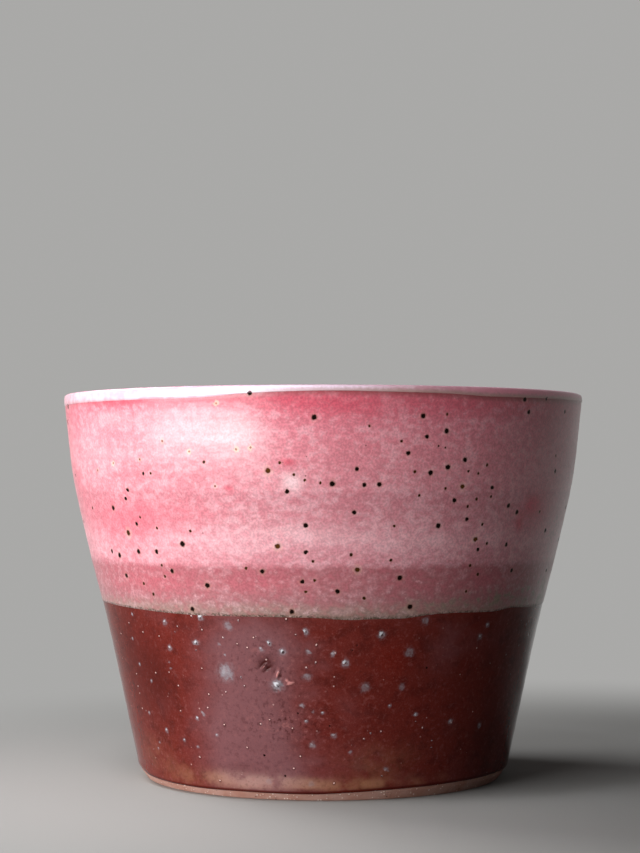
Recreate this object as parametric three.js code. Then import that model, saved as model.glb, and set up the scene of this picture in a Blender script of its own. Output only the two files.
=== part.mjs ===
// A wheel-thrown stoneware bowl and the coats of glaze fired onto it, in millimetres, +Z up.
// The origin is the middle of the foot, at the height of the surface that the bowl stands on.
import * as THREE from "three";

// Outside of the bowl, over the glaze
const rimDiameter = 140;
const bowlHeight = 102.3;
const footDiameter = 98.8; // at the lower edge of the glaze
const shoulderDiameter = 135.4; // where the two straight stretches of the wall would cross
const shoulderHeight = 80.5;
const shoulderBlend = 6.5; // how far the rounding reaches above and below the shoulder
const wallHollow = 0.35; // how far the lower wall curves in from straight

// Bare clay at the foot
const bevelHeight = 2.3; // the glaze was wiped off below this height
const bevelLean = 1.7; // how far the bevel draws in on its way down
const footRingWidth = 6;
const recessDepth = 3; // trimmed hollow inside the foot ring
const recessSlope = 2; // how far the side of the hollow draws in

// Clay wall, floor and lip
const lipClay = 2.8;
const lowerWallClay = 5.6;
const floorClay = 5.6;
const insideCorner = 17; // radius between the floor and the wall
const lipRound = 1; // height of the rounded top of the clay lip

// Coats of glaze
const linerCoat = 0.9; // pale coat on the inside and over the lip
const pinkCoat = 0.8; // where it lies on bare clay
const redBrownCoat = 0.5;
const redBrownTop = 58.5; // the pink coat covers the red-brown one up to here
const lapHeight = 46.3; // lower edge of the pink coat
const lapBeadHeight = 2; // rolled edge where the two coats ran together
const lapBeadBulge = 0.12; // how far that edge stands out beyond the pink coat

// Fineness of the faces
const roundSteps = 60;
const wallSteps = 3;
const shoulderSteps = 4;
const lipSteps = 6;
const cornerSteps = 6;
const beadSteps = 4;

// Clay sizes that follow
const footRadius = footDiameter / 2 - redBrownCoat;
const shoulderRadius = shoulderDiameter / 2 - pinkCoat;
const rimRadius = rimDiameter / 2 - linerCoat;
const lipStart = bowlHeight - linerCoat - lipRound;
const floorTop = recessDepth + floorClay;
const lapBeadTop = lapHeight + lapBeadHeight;
const blendStart = shoulderHeight - shoulderBlend;
const blendEnd = shoulderHeight + shoulderBlend;
const lowerSlope = (shoulderRadius - footRadius) / (shoulderHeight - bevelHeight);
const upperSlope = (rimRadius - shoulderRadius) / (lipStart - shoulderHeight);

const point = (radius, height) => new THREE.Vector2(radius, height);

// Numbers from the first to the last in equal steps, with the last one left out
const stepsTo = (first, last, count) =>
  Array.from({ length: count }, (_, i) => THREE.MathUtils.lerp(first, last, i / count));

// Outer radius of the clay: a straight lower and upper wall, a parabola between, and a slight hollow
function outsideRadius(height) {
  const slope = height < blendEnd ? lowerSlope : upperSlope;
  const intoBlend = height < blendEnd ? Math.max(height - blendStart, 0) : 0;
  const rounding = ((lowerSlope - upperSlope) * intoBlend ** 2) / (4 * shoulderBlend);
  const lowerPart = THREE.MathUtils.clamp((height - bevelHeight) / (blendStart - bevelHeight), 0, 1);
  const hollow = wallHollow * Math.sin(Math.PI * lowerPart) ** 2;
  return shoulderRadius + slope * (height - shoulderHeight) - rounding - hollow;
}

// Inner radius of the clay: the wall thins evenly from the floor to the lip
function insideRadius(height) {
  const rise = (height - floorTop) / (lipStart - floorTop);
  return outsideRadius(height) - THREE.MathUtils.lerp(lowerWallClay, lipClay, rise);
}

// The floor from its middle, the round corner and the inside wall up to the lip
function insideOfClay() {
  const cornerTop = floorTop + insideCorner;
  const lean = Math.atan((insideRadius(cornerTop) - insideRadius(floorTop)) / insideCorner);
  const middle = insideRadius(cornerTop) - insideCorner / Math.cos(lean);
  const turns = [...stepsTo(-Math.PI / 2, -lean, cornerSteps), -lean];
  const corner = turns.map((turn) =>
    point(middle + insideCorner * Math.cos(turn), cornerTop + insideCorner * Math.sin(turn)),
  );
  const heights = [
    ...stepsTo(corner.at(-1).y, blendStart, wallSteps).slice(1),
    ...stepsTo(blendStart, blendEnd, shoulderSteps),
    blendEnd,
    lipStart,
  ];
  return [point(0, floorTop), ...corner, ...heights.map((height) => point(insideRadius(height), height))];
}

// The rounded lip, between its inner and its outer edge
function lipOfClay() {
  const middle = (insideRadius(lipStart) + outsideRadius(lipStart)) / 2;
  const halfWidth = (outsideRadius(lipStart) - insideRadius(lipStart)) / 2;
  const turns = stepsTo(Math.PI, 0, lipSteps).slice(1);
  return turns.map((turn) =>
    point(middle + halfWidth * Math.cos(turn), lipStart + lipRound * Math.sin(turn)),
  );
}

// Heights on the outside where the profile has a point, from the lip down to the bevel
const outsideHeights = [
  bevelHeight,
  ...stepsTo(bevelHeight, lapHeight, wallSteps).slice(1),
  lapHeight,
  lapBeadTop,
  redBrownTop,
  ...stepsTo(blendStart, blendEnd, shoulderSteps),
  blendEnd,
  lipStart,
].sort((a, b) => b - a);
const outsideOfClay = outsideHeights.map((height) => point(outsideRadius(height), height));

// The glazed side of the clay as one line: floor, inside wall, lip, and outside wall down to the bevel
const lineToLip = [...insideOfClay(), ...lipOfClay()];
const glazedLine = [...lineToLip, ...outsideOfClay];

// The place in that line of a height on the outside
const outsideAt = (height) => lineToLip.length + outsideHeights.indexOf(height);

// The glazed line moved out along its normals by the thickness of what lies on it
function raised(thickness) {
  return glazedLine.map((here, i) => {
    const before = glazedLine[Math.max(i - 1, 0)];
    const after = glazedLine[Math.min(i + 1, glazedLine.length - 1)];
    const along = after.clone().sub(before).normalize();
    return point(here.x - along.y * thickness, here.y + along.x * thickness);
  });
}

// A named mesh turned about the upright axis, from a profile that runs anticlockwise
function turned(name, profile, color, roughness) {
  const geometry = new THREE.LatheGeometry(profile, roundSteps);
  geometry.rotateX(Math.PI / 2);
  const mesh = new THREE.Mesh(geometry, new THREE.MeshStandardMaterial({ color, roughness, metalness: 0 }));
  mesh.name = name;
  return mesh;
}

// A ring of glaze between two lines that have the same direction, its outer face first
function ringCoat(name, face, back, color, roughness) {
  const outline = [...face.toReversed(), ...back];
  return turned(name, [...outline, outline[0]], color, roughness);
}

// Thrown and trimmed stoneware: foot ring, wall, lip and floor
function clayBody() {
  const ringOutside = footRadius - bevelLean;
  const ringInside = ringOutside - footRingWidth;
  const underside = [
    point(0, recessDepth),
    point(ringInside - recessSlope, recessDepth),
    point(ringInside, 0),
    point(ringOutside, 0),
  ];
  return turned("clay_body", [...underside, ...glazedLine.toReversed()], 0xa9745c, 0.9);
}

// Pale coat on the floor, the inside wall and the lip
function linerGlaze() {
  const end = outsideAt(lipStart) + 1;
  const back = glazedLine.slice(0, end);
  const face = raised(linerCoat).slice(0, end);
  return turned("liner_glaze", [...back, ...face.toReversed()], 0xdcb2b4, 0.3);
}

// Red-brown coat on the clay, down to the bevel
function redBrownGlaze() {
  const start = outsideAt(redBrownTop);
  const face = raised(redBrownCoat).slice(start);
  return ringCoat("red_brown_glaze", face, glazedLine.slice(start), 0x6b2a24, 0.18);
}

// Pink coat, on bare clay above and on the red-brown coat below
function pinkGlaze() {
  const start = outsideAt(lipStart);
  const end = outsideAt(lapBeadTop) + 1;
  const onClay = glazedLine.slice(start, outsideAt(redBrownTop) + 1);
  const onRedBrown = raised(redBrownCoat).slice(outsideAt(redBrownTop), end);
  const face = raised(pinkCoat).slice(start, end);
  return ringCoat("pink_glaze", face, [...onClay, ...onRedBrown], 0xc9757f, 0.35);
}

// Rolled edge of the pink coat, where it ran into the red-brown one
function lapBead() {
  const outerTop = raised(pinkCoat)[outsideAt(lapBeadTop)];
  const innerTop = raised(redBrownCoat)[outsideAt(lapBeadTop)];
  const innerFoot = raised(redBrownCoat)[outsideAt(lapHeight)];
  const outward = outerTop.clone().sub(innerTop);
  const thickness = outward.length();
  outward.normalize();
  const face = stepsTo(1, 0, beadSteps).map((rise) => {
    const out = thickness * Math.sqrt(rise * (2 - rise)) + lapBeadBulge * Math.sin(Math.PI * rise);
    return innerFoot.clone().lerp(innerTop, rise).addScaledVector(outward, out);
  });
  return ringCoat("lap_bead", [...face, innerFoot], [innerTop], 0x8c7a6c, 0.35);
}

const bowl = new THREE.Group();
bowl.add(clayBody(), linerGlaze(), pinkGlaze(), lapBead(), redBrownGlaze());

export default bowl;
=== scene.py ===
import math
import random

import bpy
import numpy as np
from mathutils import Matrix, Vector


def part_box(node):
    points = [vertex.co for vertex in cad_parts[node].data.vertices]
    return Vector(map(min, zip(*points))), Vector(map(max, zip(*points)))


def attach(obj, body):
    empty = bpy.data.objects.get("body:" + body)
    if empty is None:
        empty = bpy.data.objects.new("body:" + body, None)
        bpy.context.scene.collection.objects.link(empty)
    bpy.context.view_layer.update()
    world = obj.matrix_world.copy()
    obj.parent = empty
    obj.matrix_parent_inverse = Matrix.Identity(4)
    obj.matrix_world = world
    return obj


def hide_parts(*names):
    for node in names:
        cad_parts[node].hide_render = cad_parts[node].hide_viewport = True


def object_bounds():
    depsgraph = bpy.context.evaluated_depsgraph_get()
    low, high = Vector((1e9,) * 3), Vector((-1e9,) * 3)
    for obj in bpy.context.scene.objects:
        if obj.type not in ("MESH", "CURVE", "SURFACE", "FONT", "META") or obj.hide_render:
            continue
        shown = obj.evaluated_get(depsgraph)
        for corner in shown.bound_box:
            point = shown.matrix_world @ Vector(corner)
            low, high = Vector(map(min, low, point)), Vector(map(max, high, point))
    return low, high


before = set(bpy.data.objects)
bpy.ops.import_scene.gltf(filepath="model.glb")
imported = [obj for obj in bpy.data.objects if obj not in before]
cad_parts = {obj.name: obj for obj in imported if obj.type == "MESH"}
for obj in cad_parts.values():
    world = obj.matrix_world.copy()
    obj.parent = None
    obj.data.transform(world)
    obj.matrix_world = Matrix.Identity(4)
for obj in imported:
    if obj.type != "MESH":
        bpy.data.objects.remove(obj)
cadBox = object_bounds()
mm = 0.001
print("The packed bowl is loaded:", ", ".join(sorted(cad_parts)))

# The shape under the glaze, in millimetres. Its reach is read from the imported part.
bowl = {
    "rimRadius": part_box("clay_body")[1].x / mm,
    "lipTop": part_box("clay_body")[1].z / mm,
    "lipRound": 1.0,         # height of the rounded top of the clay lip
    "lipFullness": (0.85, 0.45),  # inner and outer half: 1 is elliptic, less is squarer
    "lipClay": 2.8,
    "shoulderRadius": 66.9,  # where the two straight stretches of the wall would cross
    "shoulderHeight": 80.5,
    "shoulderBlend": 6.5,
    "wallHollow": 0.35,      # how far the lower wall curves in from straight
    "footRadius": 48.9,
    "bevelHeight": 2.3,
    "bevelLean": 1.7,
    "footRingWidth": 6.0,
    "recessDepth": 3.0,
    "recessSlope": 2.0,
    "lowerWallClay": 5.6,
    "floorClay": 5.6,
    "insideCorner": 17.0,
    "footRound": 0.4,        # the edges of the foot ring
}
lipStart = bowl["lipTop"] - bowl["lipRound"]
floorTop = bowl["recessDepth"] + bowl["floorClay"]
bowlTop = cadBox[1].z / mm

# How fine the turned pieces are, in millimetres between rows
rows = {
    "round": 560,            # steps once round, a multiple of 8
    "face": 0.5,             # glaze that shows
    "inside": 1.35,
    "hidden": 2.0,           # outside of the clay and backs of the coats
    "hiddenInside": 5.0,     # inside of the clay and back of the liner
    "underside": 0.75,
    "foot": 0.25,
    "footEdge": 0.14,        # the wiped edge of the red-brown coat
    "bead": 0.2,
    "lip": 0.1,              # in radians of its half circle
    "hiddenLip": 0.26,
}


def outsideRadius(height):   # of the clay, from the foot to the start of the lip
    height = np.asarray(height, float)
    rise = bowl["shoulderHeight"] - bowl["bevelHeight"]
    lowerSlope = (bowl["shoulderRadius"] - bowl["footRadius"]) / rise
    upperSlope = (bowl["rimRadius"] - bowl["shoulderRadius"]) / (lipStart - bowl["shoulderHeight"])
    blendStart = bowl["shoulderHeight"] - bowl["shoulderBlend"]
    blendEnd = bowl["shoulderHeight"] + bowl["shoulderBlend"]
    slope = np.where(height < blendEnd, lowerSlope, upperSlope)
    intoBlend = np.where(height < blendEnd, np.maximum(height - blendStart, 0), 0)
    rounding = (lowerSlope - upperSlope) * intoBlend ** 2 / (4 * bowl["shoulderBlend"])
    lowerShare = np.clip((height - bowl["bevelHeight"]) / (blendStart - bowl["bevelHeight"]), 0, 1)
    hollow = bowl["wallHollow"] * np.sin(math.pi * lowerShare) ** 2
    radius = bowl["shoulderRadius"] + slope * (height - bowl["shoulderHeight"]) - rounding - hollow
    bevel = bowl["footRadius"] - bowl["bevelLean"] * (1 - height / bowl["bevelHeight"])
    return np.where(height < bowl["bevelHeight"], bevel, radius)


def insideRadius(height):    # of the clay, where the wall thins evenly towards the lip
    rise = (height - floorTop) / (lipStart - floorTop)
    wall = bowl["lowerWallClay"] + (bowl["lipClay"] - bowl["lowerWallClay"]) * rise
    return float(outsideRadius(height)) - wall


def evenSteps(first, last, spacing):
    count = max(1, round(abs(last - first) / spacing))
    return [float(value) for value in np.linspace(first, last, count + 1)]


def insideLine(spacing):     # middle of the floor, round corner, inside wall up to the lip
    cornerTop = floorTop + bowl["insideCorner"]
    lean = math.atan((insideRadius(cornerTop) - insideRadius(floorTop)) / bowl["insideCorner"])
    middle = insideRadius(cornerTop) - bowl["insideCorner"] / math.cos(lean)
    turns = evenSteps(-math.pi / 2, -lean, spacing / bowl["insideCorner"])
    floor = [(radius, floorTop) for radius in evenSteps(0, middle, spacing)[:-1]]
    corner = [
        (middle + bowl["insideCorner"] * math.cos(turn), cornerTop + bowl["insideCorner"] * math.sin(turn))
        for turn in turns
    ]
    wall = [(insideRadius(height), height) for height in evenSteps(corner[-1][1], lipStart, spacing)[1:]]
    return floor + corner + wall


def lipLine(spacing, coat=0.0):  # over the lip, without its two ends
    middle = (insideRadius(lipStart) + bowl["rimRadius"]) / 2
    halfWidth = (bowl["rimRadius"] - insideRadius(lipStart)) / 2 + coat
    line = []
    for turn in evenSteps(math.pi, 0, spacing)[1:-1]:
        fullness = bowl["lipFullness"][0 if turn > math.pi / 2 else 1]
        across = math.copysign(abs(math.cos(turn)) ** fullness, math.cos(turn))
        up = (bowl["lipRound"] + coat) * math.sin(turn) ** fullness
        line.append((middle + halfWidth * across, lipStart + up))
    return line


def outsideLine(heights):
    return [(float(outsideRadius(height)), height) for height in heights]


def raised(line, thickness):  # a line moved out along its normals, by one thickness or one for each point
    points = np.array(line, float)
    along = np.gradient(points, axis=0)
    along /= np.linalg.norm(along, axis=1)[:, None]
    normals = np.column_stack([-along[:, 1], along[:, 0]])
    points += normals * np.broadcast_to(thickness, len(points))[:, None]
    return [(max(float(radius), 0.0), float(height)) for radius, height in points]


def spunPiece(name, outline, closed):
    bpy.ops.object.select_all(action="DESELECT")
    bpy.ops.mesh.primitive_plane_add(size=mm)
    piece = bpy.context.object
    piece.name = name
    piece.data.name = name
    bpy.ops.object.mode_set(mode="EDIT")
    bpy.ops.mesh.merge(type="CENTER")  # the plane becomes one point, which is drawn out along the outline
    places = [Vector((radius * mm, 0, height * mm)) for radius, height in outline]
    if closed:
        places.append(places[0])
    bpy.ops.transform.translate(value=places[0])
    for here, there in zip(places, places[1:]):
        bpy.ops.mesh.extrude_region_move(TRANSFORM_OT_translate={"value": there - here})
    bpy.ops.mesh.select_all(action="SELECT")
    # an eighth of the round is spun, and copies of it close the circle
    bpy.ops.mesh.spin(steps=rows["round"] // 8, angle=math.pi / 4, center=(0, 0, 0), axis=(0, 0, 1))
    for turn in (math.pi / 4, math.pi / 2, math.pi):
        bpy.ops.mesh.select_all(action="SELECT")
        bpy.ops.mesh.duplicate()
        bpy.ops.transform.rotate(value=turn, orient_axis="Z", center_override=(0, 0, 0))
    bpy.ops.mesh.select_all(action="SELECT")
    bpy.ops.mesh.remove_doubles(threshold=0.001 * mm)
    bpy.ops.mesh.normals_make_consistent(inside=False)
    bpy.ops.object.mode_set(mode="OBJECT")
    return piece


def choose(piece):           # and nothing else
    bpy.ops.object.select_all(action="DESELECT")
    piece.select_set(True)
    bpy.context.view_layer.objects.active = piece


def readNumbers(items, name, kind=np.int32, each=1):
    numbers = np.empty(len(items) * each, kind)
    items.foreach_get(name, numbers)
    return numbers


def readPoints(piece):       # in millimetres
    return readNumbers(piece.data.vertices, "co", np.float32, 3).reshape(-1, 3).astype(float) / mm


def writePoints(piece, points):
    piece.data.vertices.foreach_set("co", (points * mm).astype(np.float32).ravel())
    piece.data.update()


def aroundAndUp(points):     # degrees round from the front, to the right; radius; height
    angle = np.degrees(np.arctan2(points[:, 0], -points[:, 1]))
    return angle, np.hypot(points[:, 0], points[:, 1]), points[:, 2]


def fromAroundAndUp(angle, radius, height):
    turn = np.radians(angle)
    return np.column_stack([radius * np.sin(turn), -radius * np.cos(turn), height])


def smoothStep(value, low, high):
    share = np.clip((value - low) / (high - low), 0, 1)
    return share * share * (3 - 2 * share)


# Lines that wander round the bowl: degrees round from the front, height in millimetres
wanderingLines = {
    "lip": [
        (-120, 99.6), (-90, 99.2), (-63, 99.3), (-45, 99.3), (-30, 99.3), (-23, 99.5), (-19, 100),
        (-14, 100.3), (-8, 100.6), (-1, 100.8), (5, 100.8), (15, 100.6), (26, 100.4), (35, 99.9), (51, 100),
        (80, 100.3), (115, 99.7), (150, 100.2), (185, 100.5), (215, 99.9),
    ],
    "lap": [
        (-110, 46.2), (-90, 46.9), (-72, 47.4), (-62, 47.1), (-51, 46.8), (-43, 46.5), (-31, 46.2),
        (-15, 46.3), (-3, 46.2), (6, 45.6), (13, 45.8), (20, 45.8), (24, 46.3), (28, 46.7), (36, 46.7),
        (44, 46.5), (49, 46.6), (52, 47.2), (70, 46.5), (95, 46.9), (120, 46), (150, 46.6), (185, 47.1),
        (215, 46.3), (230, 46.6),
    ],
    "foot": [
        (-110, 2.6), (-77, 3.2), (-67, 2.1), (-53, 1.8), (-39, 1.7), (-25, 1.9), (-13, 1.8), (-1, 1.8),
        (5, 2.1), (16, 2.5), (29, 2.8), (44, 3), (69, 3.1), (100, 2.4), (130, 2), (165, 2.6), (200, 3.1),
        (225, 2.3),
    ],
}


def wanderingHeight(name, angle):
    line = sorted(((turn + 180) % 360 - 180, height) for turn, height in wanderingLines[name])
    angles, heights = zip(*line)
    degrees = np.arange(-180, 180, 1.0)
    line = np.interp(degrees, angles, heights, period=360)
    soft = np.hanning(9) / np.hanning(9).sum()
    line = np.convolve(np.concatenate([line[-4:], line, line[:4]]), soft, mode="valid")
    return np.interp(angle, degrees, line, period=360)


# The coats of glaze, in millimetres
glaze = {
    "linerCoat": 0.9,
    "pinkCoat": 0.8,
    "redBrownCoat": 0.5,
    "redBrownTop": 58.5,
    "lapHeight": 46.3,
    "lapTop": 48.3,
    "lapBulge": 0.03,
    "lapThin": 0.16,         # the pink coat thins by this much on its way down to the lap
    "lipRoll": 0.05,         # the liner's edge stands this far out where it ends on the pink coat
    "footRoll": 0.1,         # the red-brown coat gathers this much above its wiped edge
    "footRollHeight": 1.4,
    "footRound": 0.7,        # the wiped edge thickens to a full coat over this height
    "lapRound": 0.8,         # the bead does so over this share of its height
}

# The line that each coat's edge follows, the even height of that edge, and where its shift fades out
coatEdges = {
    "linerGlaze": ("lip", lipStart, lipStart + 0.95),
    "pinkGlaze": ("lip", lipStart, lipStart - 3.4),
    "lapBead": ("lap", glaze["lapHeight"], glaze["lapTop"] - 0.4),
    "redBrownGlaze": ("foot", bowl["bevelHeight"], bowl["bevelHeight"] + 6),
}

# The potter's hand: small departures from a true turned shape, in millimetres
handwork = {
    "outOfRound": 0.15,      # at the rim
    "leastInward": 0.04,
    "rimDip": 0.08,
    "ringLift": 0.016,       # throwing rings on the outside
    "ringPitch": 6.2,
    "insideRingLift": 0.22,
    "insideRingPitch": 7.6,
    "buttonLift": 0.5,       # the little button left in the middle, where the clay was opened
    "buttonWidth": 4.5,
    "trimLift": 0.05,        # trimming rings under the foot
    "trimPitch": 2.1,
    "peelLift": 0.05,        # slow unevenness of the fired glaze
    "peelSize": 4.5,
    "wallReach": 0.6,        # a point this far behind the outer face of the clay still belongs to that face
}

# A fingertip brushed the lower coat here: hollows (negative) and raised wrinkles, on the outside wall.
# Degrees round, height, half length, half width, lift, and the slant of the long side in degrees
fingerMarks = [
    (-14, 34, 3.2, 2.2, -0.08, 40),
    (-15.2, 34.5, 1.7, 0.46, -0.26, 41),
    (-14, 33.4, 1.6, 0.40, -0.24, 38),
    (-15, 33.8, 0.9, 0.34, 0.32, 52),
    (-11.5, 32, 1, 0.36, 0.36, 66),
    (-10.9, 31.5, 0.8, 0.36, -0.26, 66),
    (-12.4, 32.6, 1.1, 0.40, -0.14, 66),
    (-11.7, 29.5, 1.2, 1.00, 0.16, 0),
    (-9.2, 30.5, 0.6, 0.45, 0.28, -30),
    (-8.3, 29.8, 1.1, 0.42, 0.30, 20),
    (-10.3, 29.6, 0.7, 0.40, -0.16, 60),
    (-12.3, 28, 1, 0.50, -0.26, -10),
    (-7.4, 32.2, 2, 0.70, 0.08, -30),
    (-15.3, 29.2, 1.6, 0.60, 0.08, -30),
    (-13.4, 37.2, 1.4, 0.40, 0.12, 30),
    (-16.3, 12.8, 3.4, 0.90, -0.10, -6),
    (-24.5, 12.6, 2.2, 0.70, -0.10, 8),
    (-24.5, 14.4, 2.6, 0.90, 0.08, 0),
    (-22.6, 8.6, 2.8, 0.50, -0.15, 0),
    (-33.7, 12.2, 2.2, 0.50, -0.14, 6),
    (-4.2, 20.4, 0.8, 0.80, -0.16, 0),
]
fingerArea = ((-19, -6), (26, 38.5))  # degrees round and heights of the finer faces there
# A rough patch below it: degrees round, height, half width, half height
roughPatch = {"angle": -12.5, "height": 20.5, "halfWidth": 8.0, "halfHeight": 5.0, "lift": 0.3, "size": 1.4}


def fingerLift(angle, height):
    shift = np.zeros(len(angle))
    for markAngle, markHeight, halfLength, halfWidth, lift, slant in fingerMarks:
        across = np.radians(angle - markAngle) * outsideRadius(markHeight)
        up = height - markHeight
        lean = math.radians(slant)
        alongMark = (across * math.cos(lean) + up * math.sin(lean)) / halfLength
        overMark = (up * math.cos(lean) - across * math.sin(lean)) / halfWidth
        shift += lift * np.exp(-alongMark ** 2 - overMark ** 2)
    return shift


def wallShift(angle, height):  # how far the outside wall stands out from the true shape
    turn = np.radians(angle)
    rise = height / handwork["ringPitch"] * 2 * math.pi
    rings = np.sin(rise + turn) + 0.45 * np.sin(1.7 * rise + 2 * turn + 1.3)
    rings += 0.2 * np.sin(3.1 * rise + 3 * turn)
    fade = smoothStep(height, 6, 14) * (1 - smoothStep(height, 95, 99))
    return handwork["ringLift"] * rings * fade + fingerLift(angle, height)


def slideTo(height, newHeight, radius):  # a point keeps its distance from the clay while it slides up or down
    return radius + outsideRadius(newHeight) - outsideRadius(height)


def shapeByHand(piece):
    angle, radius, height = aroundAndUp(readPoints(piece))
    onWall = radius > outsideRadius(np.clip(height, 0, lipStart)) - handwork["wallReach"]
    if piece.name in coatEdges:
        line, edge, still = coatEdges[piece.name]
        share = np.maximum((height - still) / (edge - still), 0) * onWall
        settled = height + share * (wanderingHeight(line, angle) - edge)
        slid = slideTo(np.minimum(height, lipStart), np.minimum(settled, lipStart), radius)
        radius = np.where(onWall, slid, radius)
        height = settled
    radius = radius + np.where(onWall, wallShift(angle, height), 0)
    share = np.clip(height / bowlTop, 0, 1)
    rounding = (1 + np.sin(np.radians(2 * angle + 40))) / 2
    rounding += 0.35 * (1 + np.sin(np.radians(3 * angle - 25))) / 2
    inward = handwork["outOfRound"] * rounding + handwork["leastInward"]
    radius = radius - inward * share ** 2 * np.clip(radius / 30, 0, 1)
    dip = (1 + 0.6 * np.sin(np.radians(angle + 70)) + 0.4 * np.sin(np.radians(4 * angle))) / 2
    height = height - handwork["rimDip"] * dip * smoothStep(height, 85, bowlTop)
    writePoints(piece, fromAroundAndUp(angle, radius, height))


# A group of points that a Displace modifier moves, each by its own share
def pushFace(piece, share, textureName, size, lift):
    group = piece.vertex_groups.new(name=textureName)
    levels = np.round(share, 1)
    for level in np.unique(levels[levels > 0]):
        group.add([int(i) for i in np.flatnonzero(levels == level)], float(level), "REPLACE")
    texture = bpy.data.textures.new(textureName, "CLOUDS")
    texture.noise_scale = size * mm
    texture.noise_depth = 2
    choose(piece)
    push = piece.modifiers.new(textureName, "DISPLACE")
    push.texture = texture
    push.texture_coords = "LOCAL"
    push.vertex_group = textureName
    push.strength = lift * mm
    push.mid_level = 0.5
    bpy.ops.object.modifier_apply(modifier=push.name)


def roundedCorners(points, radius, steps):  # an outline with each inner corner rounded off
    made = [points[0]]
    for before, corner, after in zip(points, points[1:], points[2:]):
        start = Vector(corner) + (Vector(before) - Vector(corner)).normalized() * radius
        end = Vector(corner) + (Vector(after) - Vector(corner)).normalized() * radius
        for share in np.linspace(0, 1, steps + 1):
            low = start.lerp(Vector(corner), share)
            high = Vector(corner).lerp(end, share)
            made.append(tuple(low.lerp(high, share)))
    return made + [points[-1]]


hiddenHeights = evenSteps(4.8, lipStart, rows["hidden"])  # above the bevel and its finer rows
hiddenHeights = sorted(hiddenHeights + [glaze[name] for name in ("lapHeight", "lapTop", "redBrownTop")])[::-1]
bevelHeights = evenSteps(4.55, 0.4, rows["foot"])


def hiddenLine(lowest, highest=lipStart):
    return outsideLine([height for height in hiddenHeights if lowest <= height <= highest])


def makeClayBody():
    ringOutside = bowl["footRadius"] - bowl["bevelLean"]
    ringInside = ringOutside - bowl["footRingWidth"]
    recess = ringInside - bowl["recessSlope"]
    corners = [
        (recess - 3, bowl["recessDepth"]), (recess, bowl["recessDepth"]), (ringInside, 0),
        (ringOutside, 0), (float(outsideRadius(0.6)), 0.6),
    ]
    foot = roundedCorners(corners, bowl["footRound"], steps=5)
    middle = [(radius, bowl["recessDepth"]) for radius in evenSteps(0, recess - 3, rows["underside"])[:-1]]
    bevel = outsideLine(sorted(bevelHeights)[1:])
    wall = hiddenLine(0)[::-1]
    inside = (insideLine(rows["hiddenInside"]) + lipLine(rows["hiddenLip"]))[::-1]
    piece = spunPiece("clayBody", middle + foot + bevel + wall + inside, closed=False)
    shapeByHand(piece)
    points = readPoints(piece)
    angle, radius, height = aroundAndUp(points)
    under = (height < bowl["recessDepth"] + 0.2) & (radius < recess)
    turn = np.radians(angle)
    spread = radius / handwork["trimPitch"] * 2 * math.pi
    fade = smoothStep(radius, 1, 5) * (1 - smoothStep(radius, recess - 3, recess))
    rings = np.sin(spread + turn) + 0.6 * np.sin(2.3 * spread + 2 * turn)
    points[:, 2] += np.where(under, handwork["trimLift"] * rings * fade, 0)
    writePoints(piece, points)
    return piece


def makeLinerGlaze():
    back = insideLine(rows["hiddenInside"]) + lipLine(rows["hiddenLip"]) + [(bowl["rimRadius"], lipStart)]
    outer = raised(insideLine(rows["inside"]), glaze["linerCoat"])
    rolled = bowl["rimRadius"] + glaze["linerCoat"] + glaze["lipRoll"]
    rollEnd = [
        (rolled - 0.015, lipStart + 0.25), (rolled - 0.03, lipStart + 0.1),
        (bowl["rimRadius"] + glaze["pinkCoat"] - 0.02, lipStart),
    ]
    face = outer + lipLine(rows["lip"], glaze["linerCoat"]) + rollEnd
    piece = spunPiece("linerGlaze", back + face[::-1], closed=False)
    shapeByHand(piece)
    points = readPoints(piece)
    normals = readNumbers(piece.data.vertices, "normal", np.float32, 3).reshape(-1, 3)
    angle, radius, height = aroundAndUp(points)
    # faces that look into the bowl
    inward = (normals[:, 2] > 0.5) | ((normals[:, :2] * points[:, :2]).sum(1) < 0)
    along = np.where(height > floorTop + 12, height, radius * 1.1 - 30)
    spiral = along / handwork["insideRingPitch"] * 2 * math.pi + np.radians(angle)
    fade = smoothStep(radius, 2, 9) * (1 - smoothStep(height, 88, 97))
    lift = handwork["insideRingLift"] * (0.7 * np.sin(spiral) + 0.3 * np.sin(2 * spiral + 0.7)) * fade
    button = handwork["buttonLift"] * np.exp(-(radius / handwork["buttonWidth"]) ** 2)
    points += normals * np.where(inward & (height < 98), lift + button, 0)[:, None]
    writePoints(piece, points)
    return piece


def ringPiece(name, face, back):  # both lines run downwards; the face is the outer one
    return spunPiece(name, face[::-1] + back, closed=True)


def pinkThickness(heights):
    thinner = glaze["lapThin"] * (1 - smoothStep(np.array(heights), glaze["lapTop"], glaze["redBrownTop"]))
    return glaze["pinkCoat"] - thinner


def makePinkGlaze():
    shown = evenSteps(lipStart, glaze["lapTop"], rows["face"])
    face = raised(outsideLine(shown), pinkThickness(shown))
    face[0] = (face[0][0] - 0.06, lipStart)
    onBrown = raised(hiddenLine(glaze["lapTop"], glaze["redBrownTop"]), glaze["redBrownCoat"])
    piece = ringPiece("pinkGlaze", face, hiddenLine(glaze["redBrownTop"]) + onBrown)
    shapeByHand(piece)
    return piece


def makeLapBead():
    heights = evenSteps(glaze["lapTop"], glaze["lapHeight"], rows["bead"])
    rise = (np.array(heights) - glaze["lapHeight"]) / (glaze["lapTop"] - glaze["lapHeight"])
    step = glaze["pinkCoat"] - glaze["lapThin"] - glaze["redBrownCoat"]
    edge = np.clip(rise / glaze["lapRound"], 0, 1)
    thickness = step * edge * (2 - edge) + glaze["lapBulge"] * np.sin(math.pi * rise ** 0.7) ** 2
    face = raised(outsideLine(heights), glaze["redBrownCoat"] + thickness)
    back = raised(outsideLine([glaze["lapTop"], glaze["lapHeight"]]), glaze["redBrownCoat"] - 0.02)
    piece = ringPiece("lapBead", face, back)
    shapeByHand(piece)
    return piece


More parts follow.
